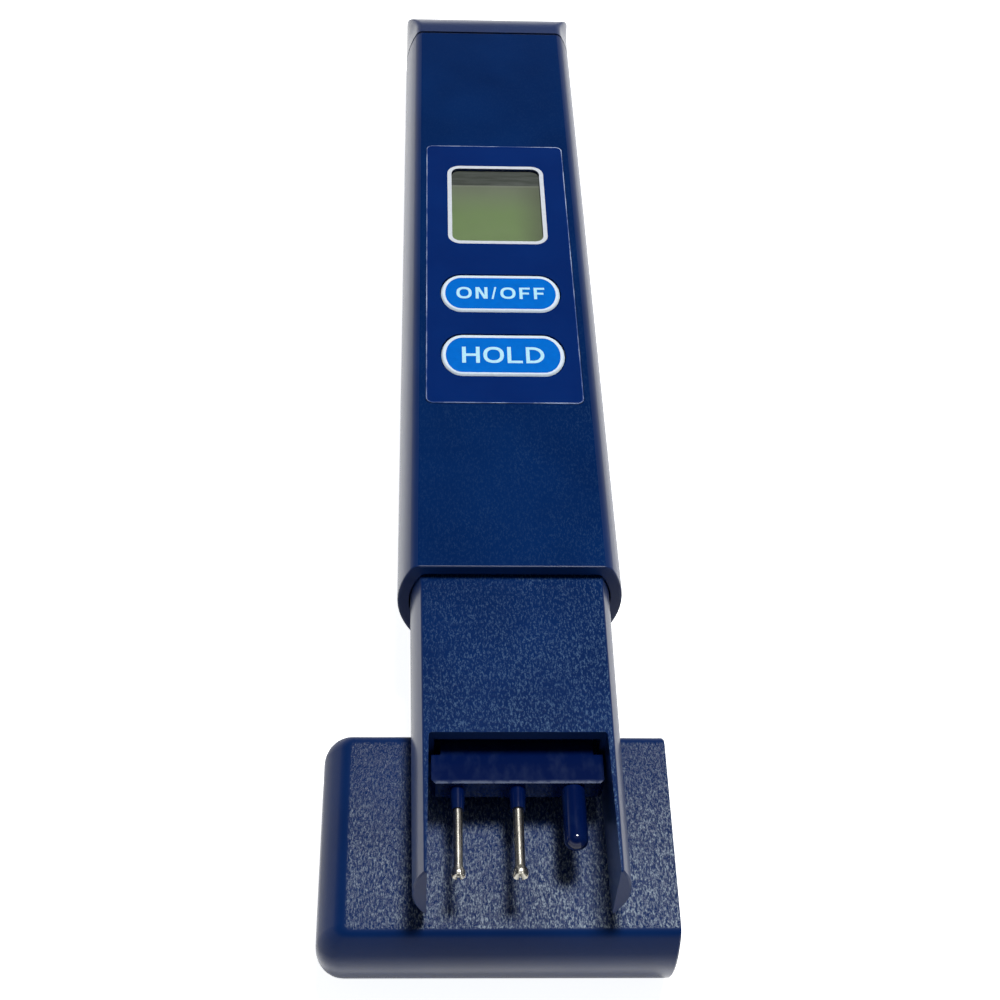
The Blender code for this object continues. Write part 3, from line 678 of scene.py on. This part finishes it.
def legend(key, text, station, height, length, stroke, material):
    """Printed word of a key, centred on it, its top towards the tail."""
    widths = [height * LETTERS[letter][0] for letter in text]
    gap = (length - sum(widths)) / (len(text) - 1)
    curve = bpy.data.curves.new(key + "_legend_drawing", "CURVE")
    curve.dimensions = "2D"
    curve.fill_mode = "BOTH"
    curve.extrude = PRINT_THICK / 2
    x = -length / 2
    for letter, width in zip(text, widths):
        draw = LETTERS[letter][1]
        for loop in draw(width, height, stroke):
            spline = curve.splines.new("POLY")
            spline.points.add(len(loop) - 1)
            for point, (across, rise) in zip(spline.points, loop):
                point.co = (x + across, rise - height / 2 - station, 0.0, 1.0)
            spline.use_cyclic_u = True
        x += width + gap
    solid = drawing_solid(curve)
    bmesh.ops.translate(solid, vec=(0.0, 0.0, KEY_FACE + PRINT_THICK / 2), verts=solid.verts)
    add_mesh(key + "_legend", solid, material, key + "_key", 30)


def make_prints():
    """The film's edge, the window's frame, and each key's outline and legend."""
    window_frame(print_ink("print_frame", (0.63, 0.67, 0.73)))
    label_edge(label_rim())
    outline_ink = print_ink("print_white", (0.68, 0.79, 0.9))
    legend_ink = print_ink("print_legend", (0.45, 0.78, 0.93))
    for key, (station, half_height) in KEYS.items():
        key_outline(key, station, half_height, outline_ink)
    for key, (text, station, height, length, stroke) in LEGENDS.items():
        legend(key, text, station, height, length, stroke, legend_ink)


# ---------------------------------------------------------------- CAD nodes

JOIN_DISTANCE = 0.000002
SMOOTH_ANGLE = math.radians(34)
FACE_WEIGHT = 80


def smoothing_group():
    """Geometry nodes that join a node's loose triangles and shade them smooth up to an angle."""
    group = bpy.data.node_groups.new("join_and_smooth", "GeometryNodeTree")
    group.interface.new_socket("Geometry", in_out="INPUT", socket_type="NodeSocketGeometry")
    group.interface.new_socket("Geometry", in_out="OUTPUT", socket_type="NodeSocketGeometry")
    start = group.nodes.new("NodeGroupInput")
    end = group.nodes.new("NodeGroupOutput")
    joined = group.nodes.new("GeometryNodeMergeByDistance")
    joined.inputs["Distance"].default_value = JOIN_DISTANCE
    faces = group.nodes.new("GeometryNodeSetShadeSmooth")
    edges = group.nodes.new("GeometryNodeSetShadeSmooth")
    edges.domain = "EDGE"
    edges.inputs["Shade Smooth"].default_value = False
    turn = group.nodes.new("GeometryNodeInputMeshEdgeAngle")
    limit = group.nodes.new("ShaderNodeMath")
    limit.operation = "GREATER_THAN"
    limit.inputs[1].default_value = SMOOTH_ANGLE
    group.links.new(start.outputs[0], joined.inputs["Geometry"])
    group.links.new(joined.outputs["Geometry"], faces.inputs["Geometry"])
    group.links.new(faces.outputs["Geometry"], edges.inputs["Geometry"])
    group.links.new(turn.outputs["Unsigned Angle"], limit.inputs[0])
    group.links.new(limit.outputs[0], edges.inputs["Selection"])
    group.links.new(edges.outputs["Geometry"], end.inputs[0])
    return group


def dress(node, material, group):
    """Give a CAD node its material and shading that keeps its flat faces flat."""
    thing = frame["nodes"][node]
    thing.data.materials.clear()
    thing.data.materials.append(material)
    smoothing = thing.modifiers.new("join_and_smooth", "NODES")
    smoothing.node_group = group
    modifier = thing.modifiers.new("even_normals", "WEIGHTED_NORMAL")
    modifier.keep_sharp = True
    modifier.weight = FACE_WEIGHT


def node_looks():
    """Every material with the CAD nodes that wear it."""
    white = plain("white_plastic", (0.75, 0.75, 0.72), (0.82, 0.82, 0.8), 0.45)
    black = plain("black_rubber", (0.006, 0.006, 0.007), (0.012, 0.012, 0.013), 0.6)
    chip = plain("chip_black", (0.01, 0.01, 0.011), (0.02, 0.02, 0.022), 0.5)
    blue = plain("trimmer_blue", (0.01, 0.06, 0.35), (0.015, 0.075, 0.4), 0.4)
    pins = metal("pin_metal", (0.83, 0.8, 0.72), (0.6, 0.56, 0.48), 0.22, (1.0, 0.05, 1.0), 0.12)
    steel = metal("cell_steel", (0.72, 0.72, 0.7), (0.5, 0.5, 0.48), 0.25, (1.0, 1.0, 1.0), 0.6)
    spring = metal("spring_metal", (0.8, 0.7, 0.45), (0.6, 0.52, 0.33), 0.3, (0.1, 1.0, 1.0), 0.3)
    return (
        (housing_plastic(), ("main_housing",)),
        (end_cap_plastic(), ("battery_cap",)),
        (sleeve_plastic(), ("probe_sleeve",)),
        (cap_plastic(), ("protective_cap",)),
        (glossy_navy(), ("probe_block", "temperature_sensor")),
        (label_film(), ("face_label",)),
        (key_blue(), ("on_off_key", "hold_key")),
        (clear_window(), ("lcd_window",)),
        (display_glass(), ("lcd_glass",)),
        (white, ("lcd_holder", "battery_tray", "on_off_plunger", "hold_plunger")),
        (black, ("battery_cap_gasket", "zebra_strip_tail", "zebra_strip_probe")),
        (chip, ("controller_chip", "on_off_switch", "hold_switch")),
        (blue, ("trimmer_base",)),
        (board_green(), ("circuit_board",)),
        (pins, ("probe_pin_left", "probe_pin_right")),
        (steel, ("button_cell_1", "button_cell_2", "clock_crystal")),
        (spring, ("contact_link", "contact_positive", "contact_negative", "trimmer_rotor")),
    )


def dress_nodes():
    """Dress every CAD node."""
    group = smoothing_group()
    for material, names in node_looks():
        for node in names:
            dress(node, material, group)


# ---------------------------------------------------------------- stage

COOL_WHITE = (0.97, 0.985, 1.0)

# The bench's own light, as the camera sees it and as everything else receives it.
FLOOR_SEEN = 0.93
FLOOR_GLOW = 0.2
FLOOR_REACH = 3.0
FLOOR_LEVEL = -0.0001

# Surroundings from the horizon to straight above: sine of the height, and brightness there.
HORIZON = ((0.0, 1.1), (0.14, 0.8), (0.3, 0.25), (0.45, 0.03), (0.8, 0.015), (0.92, 0.1), (1.0, 0.2))
WORLD_STRENGTH = 1.25

# The lamp's place, the point it looks at and its side, in metres, and its power in watts.
LAMP_PLACE = (0.095, 0.15, 0.80)
LAMP_TARGET = (0.0, -0.04, 0.0)
LAMP_SIDE = 0.16
LAMP_WATTS = 6.5

# Camera: place in metres, turns in degrees, lens in millimetres, shift as a share of the width.
CAMERA_PLACE = (-0.008563, -0.135024, 0.173669)
CAMERA_YAW = 3.838
CAMERA_PITCH = 54.552
CAMERA_ROLL = 3.454
CAMERA_LENS = 55.306
CAMERA_SHIFT = 0.02


def make_floor():
    """Plain pale bench that gives off light, so that hardly a shadow shows on it."""
    nodes = Nodes("pale_floor")
    nodes.set("Base Color", (0.75, 0.75, 0.75))
    nodes.set("Roughness", 0.9)
    nodes.set("Specular IOR Level", 0.0)
    nodes.set("Emission Color", COOL_WHITE)
    seen = nodes.new("ShaderNodeLightPath").outputs["Is Camera Ray"]
    nodes.set("Emission Strength", nodes.band(seen, 0.0, 1.0, FLOOR_GLOW, FLOOR_SEEN))
    solid = bmesh.new()
    bmesh.ops.create_grid(solid, x_segments=1, y_segments=1, size=FLOOR_REACH)
    mesh = bpy.data.meshes.new("floor")
    solid.to_mesh(mesh)
    solid.free()
    mesh.materials.append(nodes.material)
    floor = bpy.data.objects.new("floor", mesh)
    floor.location.z = FLOOR_LEVEL
    bpy.context.scene.collection.objects.link(floor)


def make_world():
    """Surroundings that are pale at the horizon and dark above it."""
    world = bpy.data.worlds.new("studio")
    world.use_nodes = True
    tree = world.node_tree
    coordinates = tree.nodes.new("ShaderNodeTexCoord")
    split = tree.nodes.new("ShaderNodeSeparateXYZ")
    ramp = tree.nodes.new("ShaderNodeValToRGB")
    while len(ramp.color_ramp.elements) < len(HORIZON):
        ramp.color_ramp.elements.new(0.5)
    for element, (place, level) in zip(ramp.color_ramp.elements, HORIZON):
        element.position = place
        element.color = (*(level * share for share in COOL_WHITE), 1.0)
    tree.links.new(coordinates.outputs["Generated"], split.inputs["Vector"])
    tree.links.new(split.outputs["Z"], ramp.inputs["Fac"])
    tree.links.new(ramp.outputs["Color"], tree.nodes["Background"].inputs["Color"])
    tree.nodes["Background"].inputs["Strength"].default_value = WORLD_STRENGTH
    bpy.context.scene.world = world


def make_lamp():
    """One soft square lamp high above the pen, towards its tail and its right side."""
    light = bpy.data.lights.new("lamp", "AREA")
    light.shape = "SQUARE"
    light.size = LAMP_SIDE
    light.energy = LAMP_WATTS
    lamp = bpy.data.objects.new("lamp", light)
    lamp.location = LAMP_PLACE
    aim = Vector(LAMP_TARGET) - Vector(LAMP_PLACE)
    lamp.rotation_euler = aim.to_track_quat("-Z", "Y").to_euler()
    bpy.context.scene.collection.objects.link(lamp)


def make_camera():
    """Camera above the probe end, looking down along the pen."""
    yaw, pitch, roll = (math.radians(angle) for angle in (CAMERA_YAW, CAMERA_PITCH, CAMERA_ROLL))
    forward = Vector((math.sin(yaw) * math.cos(pitch), math.cos(yaw) * math.cos(pitch), -math.sin(pitch)))
    level = Vector((math.cos(yaw), -math.sin(yaw), 0.0))
    above = level.cross(forward)
    right = level * math.cos(roll) + above * math.sin(roll)
    upward = above * math.cos(roll) - level * math.sin(roll)
    data = bpy.data.cameras.new("camera")
    data.sensor_width = 36.0
    data.lens = CAMERA_LENS
    data.shift_x = CAMERA_SHIFT
    data.clip_start = 0.01
    camera = bpy.data.objects.new("camera", data)
    turn = Matrix((right, upward, -forward)).transposed().to_4x4()
    camera.matrix_world = Matrix.Translation(CAMERA_PLACE) @ turn
    bpy.context.scene.collection.objects.link(camera)
    bpy.context.scene.camera = camera


def main():
    """Dress the frame, print its face and set the stage."""
    bpy.context.scene.view_settings.view_transform = "Standard"
    dress_nodes()
    make_prints()
    make_floor()
    make_world()
    make_lamp()
    make_camera()


main()
